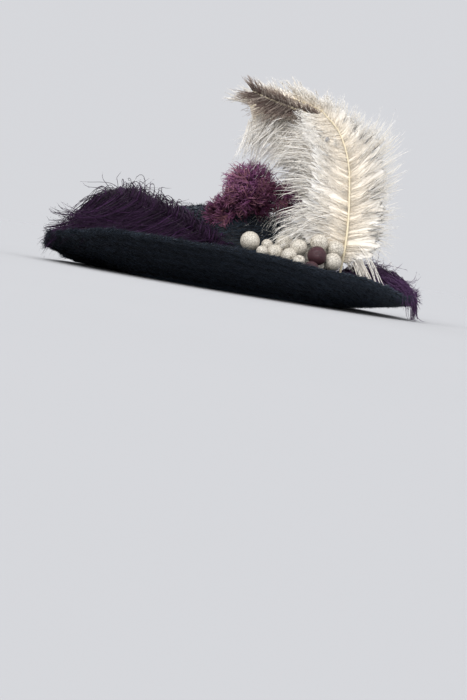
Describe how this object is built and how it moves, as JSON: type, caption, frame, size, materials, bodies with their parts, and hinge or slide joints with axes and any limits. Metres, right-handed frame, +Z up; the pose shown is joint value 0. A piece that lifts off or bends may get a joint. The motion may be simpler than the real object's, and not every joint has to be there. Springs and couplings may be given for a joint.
{
  "type": "picture hat",
  "caption": "Wide-brimmed picture hat of long-napped black plush with ostrich plumes, a curled mauve tip, satin berries and a small crystal.",
  "frame": {"origin": "on the surface that the hat stands on, under the middle of its box", "axes": "+Z up through the crown, -Y to the front of the hat, +X to the wearer's left, where the trimming is"},
  "size_m": [0.384, 0.382, 0.2116],
  "materials": {
    "plush": "long-napped black plush with a faint blue sheen, brushed along the brim",
    "aubergine_plume": "dark aubergine ostrich barbs, soft and matt with violet lights",
    "mauve_plume": "curled mauve ostrich barbs, lighter at the tips",
    "cream_plume": "cream ostrich barbs on a pale yellow quill, soft and translucent",
    "taupe_plume": "brown and taupe ostrich barbs fading to cream",
    "pearl_berry": "satin ivory and silver skin with a fine crackle",
    "plum_berry": "satin burgundy skin",
    "stem": "wire wrapped in dark paper",
    "crystal": "clear cut stone"
  },
  "bodies": {
    "root": {"brim": "plush", "crown": "plush", "front_plume": "aubergine_plume", "back_plume": "aubergine_plume", "mauve_tip": "mauve_plume", "cream_plume_back": "cream_plume", "cream_plume_front": "cream_plume", "taupe_tip": "taupe_plume", "berry_stem": "stem", "crystal": "crystal", "berry_front": "pearl_berry", "berry_front_small": "pearl_berry", "berry_front_low": "pearl_berry", "berry_second": "pearl_berry", "berry_third": "pearl_berry", "berry_third_low": "pearl_berry", "berry_top_front": "pearl_berry", "berry_top_middle": "pearl_berry", "berry_top_back": "pearl_berry", "berry_back": "pearl_berry", "berry_back_low": "pearl_berry", "plum_berry": "plum_berry", "plum_berry_low": "plum_berry"}
  },
  "joints": []
}
